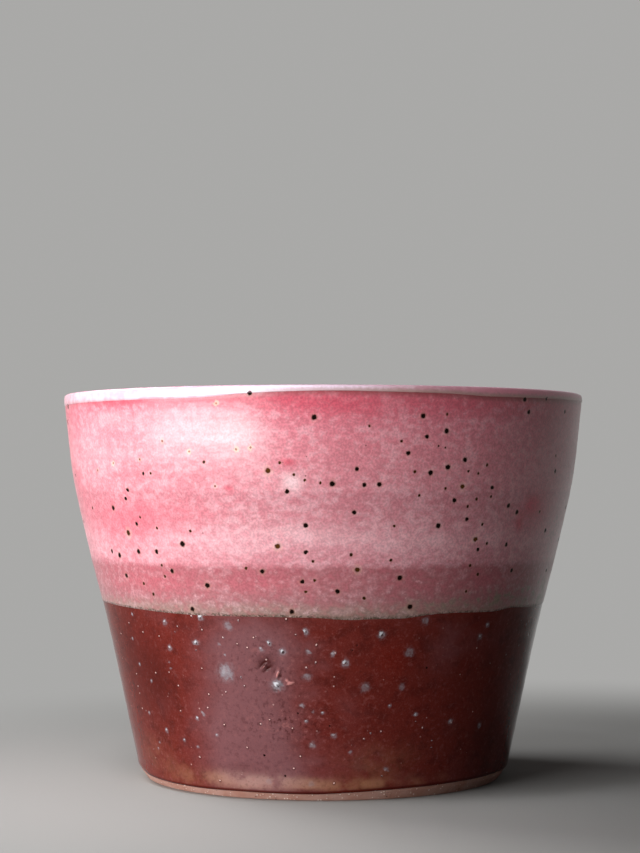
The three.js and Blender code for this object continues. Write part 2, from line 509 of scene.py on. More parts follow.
def refine(piece, angles, heights):  # finer faces on one stretch of the wall
    choose(piece)
    bpy.ops.object.mode_set(mode="EDIT")
    bpy.ops.mesh.select_all(action="DESELECT")
    bpy.ops.object.mode_set(mode="OBJECT")
    angle, radius, height = aroundAndUp(readPoints(piece))
    chosen = (angle > angles[0]) & (angle < angles[1]) & (height > heights[0]) & (height < heights[1])
    chosen &= radius > outsideRadius(height) + glaze["redBrownCoat"] / 2
    piece.data.vertices.foreach_set("select", chosen)
    bpy.ops.object.mode_set(mode="EDIT")
    bpy.ops.mesh.subdivide(number_cuts=2)
    bpy.ops.object.mode_set(mode="OBJECT")


def makeRedBrownGlaze():
    shown = evenSteps(glaze["lapTop"], bowl["bevelHeight"] + 2, rows["face"])
    shown += evenSteps(bowl["bevelHeight"] + 2, bowl["bevelHeight"], rows["footEdge"])[1:]
    above = np.array(shown) - bowl["bevelHeight"]
    edge = np.clip(above / glaze["footRound"], 0, 1)
    roll = glaze["footRoll"] * np.exp(-((above - glaze["footRollHeight"]) / glaze["footRound"]) ** 2)
    face = raised(outsideLine(shown), glaze["redBrownCoat"] * np.sqrt(edge * (2 - edge)) + roll * edge)
    upper = raised(hiddenLine(glaze["lapTop"] + 0.01, glaze["redBrownTop"]), glaze["redBrownCoat"])
    lower = outsideLine([height for height in bevelHeights if height > bowl["bevelHeight"] + 0.1])
    piece = ringPiece("redBrownGlaze", upper + face, hiddenLine(0, glaze["redBrownTop"]) + lower)
    refine(piece, *fingerArea)
    shapeByHand(piece)
    return piece


clayBody = makeClayBody()
linerGlaze = makeLinerGlaze()
pinkGlaze = makePinkGlaze()
lapBead = makeLapBead()
redBrownGlaze = makeRedBrownGlaze()
print("The clay and its four coats are turned")

# Slow unevenness of the glaze faces, and the rough patch on the lower coat
for coat, thickness in ((pinkGlaze, glaze["pinkCoat"]), (redBrownGlaze, glaze["redBrownCoat"])):
    angle, radius, height = aroundAndUp(readPoints(coat))
    faceShare = smoothStep(radius - outsideRadius(np.clip(height, 0, lipStart)), 0.1, thickness * 0.7)
    ends = smoothStep(height, 5, 9) * (1 - smoothStep(np.abs(height - glaze["lapTop"]), 1.5, 0.5))
    ends = ends * (1 - smoothStep(height, 96, 99))
    pushFace(coat, faceShare * ends, coat.name + "Peel", handwork["peelSize"], handwork["peelLift"])
    if coat is redBrownGlaze:
        across = (angle - roughPatch["angle"]) / roughPatch["halfWidth"]
        up = (height - roughPatch["height"]) / roughPatch["halfHeight"]
        patch = np.exp(-(across ** 2 + up ** 2)) * faceShare * (height < glaze["lapHeight"])
        pushFace(coat, patch, "roughPatch", roughPatch["size"], roughPatch["lift"])
for piece in (clayBody, linerGlaze, pinkGlaze, lapBead, redBrownGlaze):
    choose(piece)
    bpy.ops.object.shade_smooth_by_angle(angle=math.radians(35))
print("The glaze faces are uneven as fired")

# The view of the photograph
view = {
    "eye": (-0.000845, -0.55096, 0.07965),
    "tiltUp": 1.49,
    "focalPixels": 2025.3,   # of a picture of the size below
    "pictureWidth": 640,
    "pictureHeight": 853,
    "sensor": 36.0,
}
sightLine = (440, 560, 0.01)  # steps along a line of sight, in millimetres from the eye

# Iron specks in the pink coat that the front shows. Each kind has its width in millimetres, how far it is
# from plain iron, the strength of its halo, and its places in the photo: pixels across and down, read one by
# one
ironSpecks = {
    "bold": (1.35, 0, 0.12, [
        (249.6, 392.9), (423.5, 416), (314.2, 417.3), (447, 431), (448.2, 467.2), (430.9, 472.8),
        (332.2, 483.9), (379.5, 484.5), (182.6, 544), (119.6, 555.2), (262.3, 571.5), (126.5, 575.5),
        (302.7, 582), (207.5, 585.5), (410, 607),
    ]),
    "middle": (1.22, 0, 0.08, [
        (408.6, 453.1), (357, 469), (305.9, 552.5), (156.6, 551.7), (400, 578), (337.5, 591.5),
        (547, 398.9), (525.5, 399.5), (565.4, 411.7), (529.5, 412), (427.4, 436.7), (465.5, 460),
        (555.5, 471.2), (143.5, 473.4), (364.5, 485), (492.5, 487.8), (127.5, 490.5), (287, 491.5),
        (125.7, 498.3), (454.7, 500.5), (508.8, 505.8), (113.2, 507.9), (354.4, 512.5), (517.2, 512.2),
        (467, 519.3), (305.7, 525.4), (136.7, 523.8), (438.6, 525.7), (545.5, 530.5), (506.5, 544.5),
        (478.1, 549.3), (138.5, 551.5), (112, 551.2), (172, 571), (511.6, 570.4), (546.3, 570.4),
        (192.5, 609), (291.8, 611.8),
    ]),
    "small": (0.84, 0.3, 0.08, [
        (447.8, 414.4), (369.5, 426), (401.9, 441.2), (439.4, 446), (445.1, 447.6), (279.6, 462.7),
        (203.8, 462.2), (487.4, 465.1), (468.9, 471.2), (415.1, 471.8), (150.4, 473.4), (478.5, 473.6),
        (293.9, 474.7), (304.3, 480.3), (320.5, 483), (445.9, 488.6), (419.4, 495.4), (491.4, 496.5),
        (476.9, 499.1), (467.8, 506.6), (92.5, 507.9), (540, 511.7), (140, 517.4), (482.6, 524.4),
        (394.4, 526), (157, 528.1), (190.2, 531), (556.3, 455.9), (486.9, 543.3), (351.2, 554.9),
        (391, 560.3), (312.9, 561.3), (470.2, 565.6), (161.9, 565.3), (246, 568.3), (477.8, 574.4),
        (165, 576.3), (314.5, 580.7), (305.8, 591.6), (143.8, 583.5), (466.2, 591.4), (364.1, 598.3),
        (153.6, 594.3),
    ]),
    "brown": (1.4, 0.55, 0.3, [
        (462.7, 486.6), (128.4, 532.9), (475.8, 539.3), (357.5, 569.6), (277.7, 546.4), (267.9, 470.7),
    ]),
    "buried": (0.72, 0.9, 1, [(216, 403.4), (236, 449.4), (189, 451.6), (113.2, 463.2), (250.4, 447.5)]),
    "faint": (0.66, 0.8, 0.4, [(162, 441), (139.5, 459.5), (97.7, 470.4), (215, 486.3)]),
}
# Milky spots with a painted highlight (kind near 1, painted glints at 1) and dark pits (kind below 0) in the
# red-brown coat, in the same way
paleSpots = {
    "patch": (3.1, 0.3, 0.9, [(226, 672.2)]),
    "blob": (2.4, 0.85, 0.95, [(277.2, 685)]),
    "bright": (1.6, 0.85, 0.75, [
        (195.7, 642.8), (269, 643.3), (282.6, 651.7), (345.4, 663), (305.1, 631.7), (381.6, 634.9),
        (200, 617),
    ]),
    "soft": (1.7, 0.25, 0.7, [
        (307.1, 676.7), (365.1, 687.5), (425.4, 620.9), (409.5, 652.4), (228, 625.8),
    ]),
    "smear": (1.3, 0, 0.3, [(269, 781.5), (311.3, 784)]),
    "middle": (1.3, 0.5, 0.6, [
        (164.7, 622), (487.6, 625), (480, 636.6), (261.3, 648.7), (308.7, 651.7), (169.8, 647.8),
        (333.1, 654.1), (402, 687), (302.2, 706.7), (415.6, 714.9), (197.8, 718), (450.6, 721.2),
        (479.3, 725.4), (333.8, 735.5), (166.8, 730.3), (312.4, 745), (385.8, 770), (203, 713.5),
    ]),
    "small": (0.8, 0.5, 0.6, [
        (132.2, 614.1), (132.6, 638.4), (219.4, 643.6), (225, 655), (169.4, 663), (170.8, 667.7),
        (151.5, 680.9), (139.6, 664.1), (323.2, 706.5), (389.6, 705.8), (322.7, 712.6), (313.1, 711.8),
        (306.1, 721.2), (149.4, 712.8), (184.5, 739.9), (350.3, 752.1), (159.8, 742.7), (158.4, 747.7),
        (216.8, 735.2), (198, 746.9),
    ]),
    "glint": (0.66, 1, 0.9, [
        (191.5, 616.2), (399.6, 618), (286.6, 619.3), (238.4, 620.4), (202.3, 630), (295.8, 634.8),
        (253.5, 637.7), (175, 631.3), (177.3, 626.7), (159.4, 636.4), (143.2, 632.4), (128.9, 623.2),
        (223, 637.7), (237.3, 644), (316.6, 645.4), (247.4, 647.7), (196.1, 649.7), (316, 662.6),
        (306.5, 667.6), (202.1, 668.6), (156, 673), (136.7, 673.9), (240.8, 677.2), (244.6, 686.1),
        (138.3, 686.4), (139.8, 693.3), (178.5, 686), (226, 692), (209, 694.5), (142.4, 708.6),
        (180.8, 710.9), (207.9, 707.9), (260.7, 723.9), (269.9, 720.1), (292.6, 728.5), (415.6, 721.5),
        (224.5, 725), (422.6, 727.9), (381.2, 731.4), (370.4, 733.4), (363.9, 739), (431.7, 740.8),
        (431.4, 747.1), (200.3, 757.6), (294, 768.6), (382, 775.4), (220.3, 780.8), (247.4, 747.7),
        (300.5, 756.8), (334.2, 783.6),
    ]),
    "pit": (0.6, -1, 0, [
        (298, 713), (324.2, 701.7), (329.6, 726.2), (264.5, 755.3), (285.4, 775.9), (426.6, 667.8),
    ]),
}


backOfBowl = (76, 286)       # degrees round that the photo doesn't show
spotReach = {"least": 1.8, "widths": 1.7}  # how far round it a spot is kept, in millimetres or widths


def glazedRadius(height):    # of the outside wall, over its coats
    coat = np.where(height > glaze["lapHeight"], pinkThickness(height), glaze["redBrownCoat"])
    return outsideRadius(height) + coat


def seenAt(across, down):    # what a pixel of the photo shows of the wall: degrees round and height
    right = (across - view["pictureWidth"] / 2) / view["focalPixels"]
    up = (view["pictureHeight"] / 2 - down) / view["focalPixels"]
    tilt = math.radians(view["tiltUp"])
    along = (right, math.cos(tilt) - up * math.sin(tilt), math.sin(tilt) + up * math.cos(tilt))
    points = np.array(view["eye"]) / mm + np.arange(*sightLine)[:, None] * along
    angle, radius, height = aroundAndUp(points)
    first = np.argmax(radius < glazedRadius(np.minimum(height, lipStart)))
    return float(angle[first]), float(height[first])


def spreadRound(placed, share, lowest, highest, seed):  # the same kinds of spots round the back
    draw = random.Random(seed)
    spots = []
    for width, kind, halo, places in placed.values():
        for across, down in places:
            angle, height = seenAt(across, down)
            varied = kind + draw.uniform(-0.15, 0.15) * (0 < kind < 0.8)
            spots.append((angle, height, width * draw.uniform(0.9, 1.1), varied, halo))
        for _ in range(round(len(places) * share)):
            angle = draw.uniform(*backOfBowl)
            height = draw.uniform(lowest, highest)
            spots.append((angle, height, width * draw.uniform(0.8, 1.15), kind, halo))
    return spots


def markSpots(piece, spots):
    # each point of the mesh keeps the place, size and kind of the spot beside it, for the glaze to draw
    points = readPoints(piece)
    table = np.array(spots)
    centres = fromAroundAndUp(table[:, 0], glazedRadius(table[:, 1]), table[:, 1])
    best = np.full(len(points), 9.0)
    nearest = np.zeros(len(points), int)
    for number, centre in enumerate(centres):
        reach = max(spotReach["least"], table[number, 2] * spotReach["widths"])
        distance = np.linalg.norm(points - centre, axis=1) / reach
        closer = distance < np.minimum(best, 1)
        best[closer] = distance[closer]
        nearest[closer] = number
    found = best < 1
    place = np.where(found[:, None], centres[nearest], 0) * mm
    kind = np.where(found[:, None], table[nearest, 2:5], 0) * (mm / 2, 1, 1)
    # no spot on a face whose points keep different spots
    corners = readNumbers(piece.data.loops, "vertex_index")
    starts = readNumbers(piece.data.polygons, "loop_start")
    owner = np.where(found, nearest, -1)[corners]
    mixed = np.minimum.reduceat(owner, starts) != np.maximum.reduceat(owner, starts)
    sizes = np.diff(np.append(starts, len(corners)))
    kind[corners[np.repeat(mixed, sizes)]] = 0
    for name, values in (("spotCentre", place), ("spotKind", kind)):
        attribute = piece.data.attributes.new(name, "FLOAT_VECTOR", "POINT")
        attribute.data.foreach_set("vector", values.astype(np.float32).ravel())


def markValues(piece, named):
    for name, values in named.items():
        attribute = piece.data.attributes.new(name, "FLOAT", "POINT")
        attribute.data.foreach_set("value", values.astype(np.float32))


# Where the colour runs deeper (positive) or paler: degrees round, height, half width in degrees, half
# height, amount. The pale ones on the upper left (-63 to -17 degrees, 86 to 95 mm up) and the one at 43
# degrees are a painted highlight
pinkCloudsAndHighlight = [
    (3, 97, 17, 3.2, 0.55), (-24, 98.6, 22, 1.3, 0.6), (32, 97.5, 14, 2.6, 0.35), (56, 72, 8, 7, 0.6),
    (43, 91, 6, 8, -0.3), (49, 68.5, 1.8, 2.4, 0.5), (53, 73.2, 3, 2.2, 0.5), (44, 54.6, 9, 2.6, 0.2),
    (-7.2, 83.8, 1.9, 1.3, 0.8), (-20, 77.5, 1.1, 1.1, 0.7), (-12.4, 96.8, 2.6, 0.8, 0.6),
    (-30.5, 91.5, 12, 7, -0.42), (38, 86, 14, 12, 0.1), (-40, 73, 18, 4.6, 0.2), (-63, 88, 11, 8, -0.3),
    (-50, 95, 8, 3, -0.35), (-12, 54.5, 12, 2.6, 0.25), (-6.5, 78.9, 2.4, 2.4, -0.9),
    (-16, 67, 11, 3.2, -0.25), (22, 64.5, 14, 3.8, -0.25), (-48, 86, 13, 4, -0.15),
    (-17, 91, 7, 7.5, -0.53), (-44, 99, 30, 0.8, 0.45), (10, 88, 7, 3, 0.2), (-52, 68, 19, 6.5, 0.5),
    (-72, 80, 8, 12, 0.4), (-28, 70, 9, 5, 0.18), (0, 66, 9, 3, -0.3), (-45, 54, 18, 5, 0.3),
    (105, 90, 20, 5, 0.3), (150, 72, 16, 4, -0.3), (190, 94, 24, 4, 0.35), (220, 66, 15, 5, -0.25),
    (260, 84, 14, 5, 0.25),
]
# Where the pink coat thins to grey-olive above its lower edge; the one at 70 degrees, 66 mm up the right
# side, is a painted reflection
greyClouds = [
    (22, 48.8, 12, 1.8, 0.5), (44, 49.2, 16, 2.6, 0.65), (64, 50, 14, 4, 0.6), (70, 66, 8, 16, 0.3),
    (-62, 48.6, 9, 1.4, 0.4), (120, 49.5, 30, 2.4, 0.5), (185, 48.8, 26, 2, 0.4), (235, 49.2, 24, 2.4, 0.5),
]
# The lip: deeper to the right, milky to the left of the middle; the milky ones at the front are a painted
# highlight and reflection
lipCloudsAndHighlight = [
    (44, 101, 22, 5, 0.7), (70, 101, 20, 5, 0.8), (-5, 101.5, 21, 4, -1.1), (-52, 101.5, 22, 4, -0.3),
    (130, 101, 30, 5, 0.5), (210, 101, 34, 5, -0.4),
]
# Where the lower coat runs redder (positive) or mauve (negative): degrees round, height, half width in
# degrees, half height, amount. The mauve ones are a painted reflection, a pale sheen over the dark glaze
brownClouds = [
    (-55, 36, 10, 12, 0.4), (18, 36, 7, 6, 0.6), (31, 37, 8, 9, -0.45), (24, 22, 10, 7, 0.25),
    (-21, 17, 15, 12, -1.2), (-18, 37, 13, 10, -1.2), (-17, 6, 16, 5, -0.8), (45, 20, 12, 16, 0.3),
    (110, 30, 18, 9, 0.4), (160, 22, 14, 8, -0.6), (215, 34, 16, 7, 0.4), (255, 18, 14, 8, -0.5),
]
# Thin ochre breaks near the foot
ochreClouds = [
    (-58, 9, 11, 6, 0.5), (-43, 4.6, 9, 3.4, 0.7), (-30, 4.9, 7, 2.4, 1.2), (-21, 4.3, 6, 2.2, 1.3),
    (-12, 4.8, 6, 2.1, 1.5), (-3.5, 4.3, 5, 1.8, 1.4), (5, 4.1, 6, 1.7, 1), (14, 4.4, 6, 1.4, 1.25),
    (16, 9.5, 13, 6, 0.6), (28, 4.2, 4, 2, 0.6), (37, 5, 3, 1.6, 0.4), (100, 5, 14, 2.4, 0.7),
    (140, 4.5, 10, 2, 0.6), (175, 5, 16, 2.6, 0.7), (225, 4.6, 12, 2, 0.6), (265, 6, 12, 3, 0.7),
]
# Where the lower coat is darker
shadeClouds = [
    (-62, 34, 14, 20, 0.5), (-48, 28, 8, 12, 0.4), (-14.4, 34.9, 3.2, 2.5, 0.55), (-24, 8, 8, 1.8, 0.3),
    (52, 14, 11, 12, 0.4), (150, 40, 20, 8, 0.3), (250, 12, 20, 8, 0.3),
]
# Where the lower coat is rough and mottled
roughClouds = [(-9, 20, 9, 4.5, 1), (-14, 34, 7, 5, 0.6), (130, 24, 12, 5, 0.9), (240, 30, 10, 6, 0.8)]
# How strongly the lip's lower edge is drawn in grey, and the pink just below it dark: painted shade under the
# rolled edge, weakest on the lit left. Degrees round, amount
lipEdgeShade = [
    (-180, 0.6), (-90, 0.3), (-70, 0.3), (-50, 0.2), (-36, 0), (-26, 0.05), (-12, 0.6), (10, 0.9), (60, 1),
    (120, 0.8), (179, 0.6),
]


def cloudAmount(angle, height, clouds):
    amount = np.zeros(len(angle))
    for middle, level, halfWidth, halfHeight, strength in clouds:
        across = ((angle - middle + 180) % 360 - 180) / halfWidth
        amount += strength * np.exp(-across ** 2 - ((height - level) / halfHeight) ** 2)
    return amount


pinkSpots = spreadRound(ironSpecks, share=1.4, lowest=glaze["lapTop"], highest=99, seed=11)
brownSpots = spreadRound(paleSpots, share=1.4, lowest=5, highest=glaze["lapHeight"] - 1, seed=23)
for piece in (pinkGlaze, lapBead, linerGlaze):
    markSpots(piece, pinkSpots)
    angle, radius, height = aroundAndUp(readPoints(piece))
    drawn = (radius > bowl["rimRadius"] - bowl["lipClay"] / 2) | (piece is not linerGlaze)
    markValues(piece, {
        "cloud": cloudAmount(angle, height, lipCloudsAndHighlight if piece is linerGlaze else pinkCloudsAndHighlight),
        "grey": cloudAmount(angle, height, greyClouds),
        "aboveLap": height - wanderingHeight("lap", angle),
        "belowLip": wanderingHeight("lip", angle) - height,
        "lipEdgeShade": np.interp(angle, *zip(*lipEdgeShade)) * drawn,
    })
markSpots(redBrownGlaze, brownSpots)
angle, _, height = aroundAndUp(readPoints(redBrownGlaze))
markValues(redBrownGlaze, {
    "cloud": cloudAmount(angle, height, brownClouds),
    "ochre": cloudAmount(angle, height, ochreClouds),
    "rough": cloudAmount(angle, height, roughClouds),
    "shade": cloudAmount(angle, height, shadeClouds),
    "aboveFoot": height - wanderingHeight("foot", angle),
    "finger": fingerLift(angle, height),
})
print("Spots are placed:", len(pinkSpots), "in the pink coat,", len(brownSpots), "in the lower one")


# Short forms for building a node tree, which is found from the sockets that go in
def treeOf(*values):
    return next(value.id_data for value in values if isinstance(value, bpy.types.NodeSocket))


def feed(made, inputs):      # a link or a plain value for each input named
    for socket, value in inputs.items():
        if isinstance(value, bpy.types.NodeSocket):
            made.id_data.links.new(value, made.inputs[socket])
        else:
            made.inputs[socket].default_value = value
    return made.outputs


def addNode(tree, kind, inputs, **settings):
    made = tree.nodes.new("ShaderNode" + kind)
    made.location = (220 * (len(tree.nodes) % 9), -190 * (len(tree.nodes) // 9))
    for setting, value in settings.items():
        setattr(made, setting, value)
    return feed(made, inputs)


def maths(operation, first, second=0.0):
    return addNode(treeOf(first, second), "Math", {0: first, 1: second}, operation=operation)[0]


def times(first, second):
    return maths("MULTIPLY", first, second)


def plus(first, second):
    return maths("ADD", first, second)


def minus(first, second):
    return maths("SUBTRACT", first, second)


def larger(first, second):
    return maths("MAXIMUM", first, second)


def vectors(operation, first, second):
    inputs = {0: first, "Scale" if operation == "SCALE" else 1: second}
    return addNode(treeOf(first, second), "VectorMath", inputs, operation=operation)


def noise(place, size, detail=2.0, rough=0.5):  # size of the blotches in millimetres
    inputs = {"Vector": place, "Scale": 1 / (size * mm), "Detail": detail, "Roughness": rough}
    return addNode(place.id_data, "TexNoise", inputs)[0]


def between(value, low, high, start=0.0, end=1.0):  # from start to end while the value goes from low to high
    inputs = {0: value, 1: low, 2: high, 3: start, 4: end}
    return addNode(value.id_data, "MapRange", inputs, interpolation_type="SMOOTHSTEP")[0]


def blend(factor, first, second, way="MIX"):
    inputs = {0: factor, 6: first, 7: second}
    return addNode(treeOf(factor, first, second), "Mix", inputs, data_type="RGBA", blend_type=way)[2]


def painted(colour, layers):  # each layer over the last: where it lies, how much of it, its colour
    for mask, share, over in layers:
        colour = blend(times(mask, share), colour, over)
    return colour


def ramp(value, stops):      # stops: place from 0 to 1, colour
    made = addNode(value.id_data, "ValToRGB", {0: value})[0]
    points = made.node.color_ramp.elements
    while len(points) < len(stops):
        points.new(0.5)
    for point, (place, colour) in zip(points, stops):
        point.position = place
        point.color = colour
    return made


def reading(tree, name, output="Fac"):
    return addNode(tree, "Attribute", {}, attribute_name=name)[output]


def placeIn(tree):           # where on the piece
    return addNode(tree, "TexCoord", {})["Object"]


def levelOf(place):
    return addNode(place.id_data, "SeparateXYZ", {0: place})[2]


def stretched(place, across, up):  # a pattern made longer round the bowl than it is tall
    return addNode(place.id_data, "Mapping", {0: place, 3: (1 / across, 1 / across, 1 / up)})[0]


def paint(red, green, blue):  # a colour as a screen shows it, 0 to 255
    def linear(share):
        return share / 12.92 if share <= 0.04045 else ((share + 0.055) / 1.055) ** 2.4
    return tuple(linear(channel / 255) for channel in (red, green, blue)) + (1.0,)


def newGroup(name, inputs, outputs):  # apart from a place and a colour, all that goes in or out is a number
    tree = bpy.data.node_groups.new(name, "ShaderNodeTree")
    kinds = {"place": "NodeSocketVector", "colour": "NodeSocketColor"}
    for label, value in inputs.items():
        kind = kinds.get(label, "NodeSocketFloat")
        socket = tree.interface.new_socket(name=label, in_out="INPUT", socket_type=kind)
        if value is not None:
            socket.default_value = value
    for label in outputs:
        kind = kinds.get(label, "NodeSocketFloat")
        tree.interface.new_socket(name=label, in_out="OUTPUT", socket_type=kind)
    end = tree.nodes.new("NodeGroupOutput")
    end.location = (2200, 0)
    return tree, tree.nodes.new("NodeGroupInput").outputs, end


def useGroup(group, place, **values):
    return addNode(place.id_data, "Group", {"place": place, **values}, node_tree=group)


def makeSpotGroup():         # round spots with a ragged edge, drawn from what each mesh point keeps
    outputs = ("core", "rim", "halo", "veil", "kind", "heartHighlight", "hole")
    tree, given, end = newGroup("raggedSpots", {"place": None, "ragged": 0.5, "spread": 2.3}, outputs)
    centre = reading(tree, "spotCentre", "Vector")
    kind = addNode(tree, "SeparateXYZ", {0: reading(tree, "spotKind", "Vector")})
    size = larger(kind[0], 0.000001)
    wobble = vectors("SUBTRACT", noise(given["place"], 0.7).node.outputs[1], (0.5, 0.5, 0.5))[0]
    moved = vectors("SCALE", wobble, times(size, given["ragged"]))[0]
    place = vectors("ADD", given["place"], moved)[0]
    ratio = maths("DIVIDE", vectors("DISTANCE", place, centre)["Value"], size)
    feed(end, {
        "core": between(ratio, 1.0, 0.72),
        "rim": between(ratio, 1.45, 0.8),
        "halo": times(between(ratio, given["spread"], 0.9), kind[2]),
        "veil": kind[2],
        "kind": kind[1],
    })
    # a painted highlight up to the left of the middle, where the light comes from, and a hole beside it, a
    # pit darkened by painted shade
    for name, offset, outer, inner in (
        ("heartHighlight", (-0.2, 0, 0.26), 0.62, 0.36), ("hole", (0.24, 0, -0.14), 0.42, 0.26),
    ):
        there = vectors("ADD", centre, vectors("SCALE", offset, size)[0])[0]
        away = vectors("DISTANCE", place, there)["Value"]
        feed(end, {name: between(maths("DIVIDE", away, size), outer, inner)})
    return tree


def makePitGroup():          # pinholes and tiny crystals, and painted glints, a few in every cell of a given size
    inputs = {"place": None, "cell": 3.0, "share": 0.5, "width": 0.15}
    tree, given, end = newGroup("scatteredPits", inputs, ("pit", "rim", "draw"))
    scale = maths("DIVIDE", 1 / mm, given["cell"])
    cells = addNode(tree, "TexVoronoi", {"Vector": given["place"], "Scale": scale})
    draw = addNode(tree, "SeparateColor", {0: cells["Color"]})
    chosen = maths("LESS_THAN", draw[0], given["share"])
    width = times(given["width"], between(draw[1], 0.0, 1.0, 0.5, 1.2))
    ratio = maths("DIVIDE", cells["Distance"], width)
    pit = times(between(ratio, 1.1, 0.7), chosen)
    rim = times(between(ratio, 2.4, 1.1), chosen)
    feed(end, {"pit": pit, "rim": rim, "draw": draw[2]})
    return tree


def makeCurdleGroup():       # the cloudy curds of a crystalline glaze, its fine grain and a few pale threads
    tree, given, end = newGroup("curdle", {"place": None}, ("pale", "deep", "grain", "thread"))
    wide = stretched(given["place"], 1.4, 1.0)
    curds = noise(wide, 1.5, 1.5)
    both = plus(times(curds, 0.62), times(noise(wide, 8.0), 0.38))
    squiggles = maths("ABSOLUTE", minus(noise(wide, 1.1, 1.0), 0.5))
    feed(end, {
        "pale": between(both, 0.48, 0.62),
        "deep": between(both, 0.52, 0.38),
        "grain": between(noise(given["place"], 0.55, 1.0), 0.3, 0.7),
        "thread": times(between(squiggles, 0.03, 0.0), between(curds, 0.5, 0.62)),
    })
    return tree


spotGroup = makeSpotGroup()
pitGroup = makePitGroup()
curdleGroup = makeCurdleGroup()

# The pink coat down the wall: height in millimetres, colour where the light is even
pinkLook = {
    "bands": [
        (45.6, paint(112, 94, 82)), (46.8, paint(142, 114, 106)), (48.2, paint(152, 116, 112)),
        (50.2, paint(160, 104, 108)), (53.5, paint(168, 101, 107)), (57.7, paint(168, 98, 105)),
        (59.3, paint(206, 138, 147)), (65.0, paint(220, 156, 165)), (70.5, paint(206, 137, 146)),
        (76.1, paint(200, 128, 138)), (76.9, paint(212, 138, 148)), (86.0, paint(218, 136, 147)),
        (92.0, paint(217, 129, 142)), (97.0, paint(210, 112, 127)), (101.0, paint(203, 98, 112)),
    ],
    "bandWander": 1.4,
    "pale": paint(238, 192, 200),
    "deep": paint(184, 88, 104),
    "cloudDeep": paint(205, 78, 98),
    # pale clouds, and a painted highlight on the upper left and at 43 degrees
    "paleAndHighlight": paint(238, 198, 203),
    "halo": paint(246, 214, 180),
    "grey": paint(136, 118, 104),
    "speck": paint(26, 13, 10),
    "speckRim": paint(92, 56, 28),
    "brownSpeck": paint(112, 70, 34),
    "lapSpeck": paint(58, 48, 34),
    # painted shade on the pink just under the lip
    "shadeUnderLip": paint(136, 66, 66),
    "dust": paint(92, 50, 44),
    "roughness": 0.28,
}


def makePinkGroup(look):     # the pink coat and the rolled edge below it are one pour of glaze
    tree, _, end = newGroup("pinkPour", {}, ("colour", "roughness", "height", "iron"))
    place = placeIn(tree)
    sway = times(minus(noise(place, 11.0), 0.5), look["bandWander"])
    fray = times(minus(noise(place, 1.6), 0.5), 1.6)
    banded = plus(plus(maths("DIVIDE", levelOf(place), mm), sway), fray)
    lowest = look["bands"][0][0]
    reach = look["bands"][-1][0] - lowest
    share = maths("DIVIDE", minus(banded, lowest), reach)
    bands = ramp(share, [((at - lowest) / reach, shade) for at, shade in look["bands"]])
    curds = useGroup(curdleGroup, place)
    overBrown = between(banded, 60.0, 57.0)
    flecks = useGroup(pitGroup, place, cell=1.5, share=0.5, width=0.2)
    cloud = reading(tree, "cloud")
    greyed = times(reading(tree, "grey"), between(curds["pale"], -0.4, 1.0))
    colour = painted(bands, [
        (curds["pale"], between(overBrown, 0.0, 1.0, 0.26, 0.12), look["pale"]),
        (curds["deep"], 0.26, look["deep"]),
        (curds["thread"], 0.24, look["pale"]),
        (flecks["rim"], 0.13, look["pale"]),
        (between(cloud, 0.0, 1.0), 1.0, look["cloudDeep"]),
        # pale clouds, and a painted highlight on the upper left and at 43 degrees
        (between(cloud, 0.0, -1.0), 1.0, look["paleAndHighlight"]),
        # grey-olive where the coat thins, and a painted reflection up the right side
        (between(greyed, 0.0, 0.8), 1.0, look["grey"]),
    ])
    grain = plus(times(curds["grain"], 0.26), 0.87)
    colour = blend(1.0, colour, addNode(tree, "CombineColor", {0: grain, 1: grain, 2: grain})[0], "MULTIPLY")

    ragged = plus(reading(tree, "aboveLap"), times(noise(place, 0.9, 3.0, 0.7), 1.6))
    under = plus(reading(tree, "belowLip"), times(noise(place, 1.3), 0.8))
    spots = useGroup(spotGroup, place, ragged=0.75, spread=4.6)
    iron = times(spots["core"], between(spots["kind"], 0.7, 0.9, 1.0, 0.7))
    dust = useGroup(pitGroup, place, cell=5.0, share=0.4, width=0.05)
    colour = painted(colour, [
        (times(between(ragged, 1.5, 0.85), between(noise(place, 0.6), 0.4, 0.6)), 0.85, look["lapSpeck"]),
        # painted shade on the pink just under the rolled lip
        (times(between(under, 2.1, 0.5), reading(tree, "lipEdgeShade")), 0.8, look["shadeUnderLip"]),
        (spots["halo"], 0.5, look["halo"]),
        (spots["rim"], between(spots["kind"], 0.2, 0.9, 0.7, 0.1), look["speckRim"]),
        (iron, 1.0, blend(spots["kind"], look["speck"], look["brownSpeck"])),
        (dust["pit"], 0.8, look["dust"]),
    ])
    rough = plus(plus(times(curds["pale"], 0.08), look["roughness"]), times(iron, 0.4))
    relief = minus(times(noise(place, 1.5, 3.0, 0.6), 0.8), times(spots["core"], 0.35))
    feed(end, {"colour": colour, "roughness": rough, "height": relief, "iron": iron})
    return tree


pinkGroup = makePinkGroup(pinkLook)


def newMaterial(name, shader):
    made = bpy.data.materials.new(name)
    made.use_nodes = True
    principled = made.node_tree.nodes["Principled BSDF"]
    feed(principled, shader)
    return made, made.node_tree, principled


def finishMaterial(principled, colour, rough, height, lift):  # lift of the bumps in millimetres
    bump = addNode(principled.id_data, "Bump", {"Height": height, "Distance": lift * mm, "Strength": 1.0})[0]
    feed(principled, {"Base Color": colour, "Roughness": rough, "Normal": bump})


def darkIron(principled, iron, weight, roughness):  # an iron speck breaks the gloss, dark in any highlight
    clear = times(minus(1.0, iron), weight)
    feed(principled, {"Coat Roughness": roughness, "Coat Weight": clear, "Metallic": times(iron, 0.95)})


def makePinkMaterial(name):
    made, tree, principled = newMaterial(name, {"IOR": 1.36})
    pour = addNode(tree, "Group", {}, node_tree=pinkGroup)
    darkIron(principled, pour["iron"], weight=0.2, roughness=0.22)
    finishMaterial(principled, pour["colour"], pour["roughness"], pour["height"], lift=0.08)
    return made


